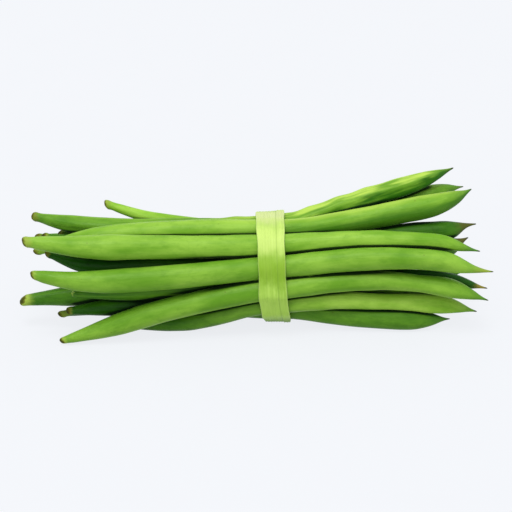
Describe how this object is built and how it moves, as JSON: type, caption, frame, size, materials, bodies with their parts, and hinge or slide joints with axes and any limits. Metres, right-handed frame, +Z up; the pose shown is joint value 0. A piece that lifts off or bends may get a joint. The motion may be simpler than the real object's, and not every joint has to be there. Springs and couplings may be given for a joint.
{
  "type": "green bean bundle",
  "caption": "Bundle of whole fresh green beans with stalk ends and curved beaks, lying down, tied round the middle with one wound strip of pale green leaf.",
  "frame": {"origin": "on the surface the bundle lies on, under the middle of its bounding box", "axes": "+X along the pods from their stalk ends towards their beaks, +Y from the front of the bundle to its back, +Z up"},
  "size_m": [0.1592, 0.0468, 0.0477],
  "materials": {
    "bean_bright": "satin",
    "bean_mid": "satin",
    "bean_deep": "satin",
    "leaf_strip": "satin"
  },
  "bodies": {
    "root": {"bean_01": "bean_bright", "bean_02": "bean_bright", "bean_03": "bean_bright", "bean_04": "bean_mid", "bean_05": "bean_mid", "bean_06": "bean_deep", "bean_07": "bean_mid", "bean_08": "bean_bright", "bean_09": "bean_deep", "bean_10": "bean_deep", "bean_11": "bean_deep", "bean_12": "bean_deep", "bean_13": "bean_mid", "bean_14": "bean_mid", "bean_15": "bean_deep", "bean_16": "bean_mid", "bean_17": "bean_bright", "bean_18": "bean_mid", "bean_19": "bean_deep", "leaf_tie": "leaf_strip"}
  },
  "joints": []
}
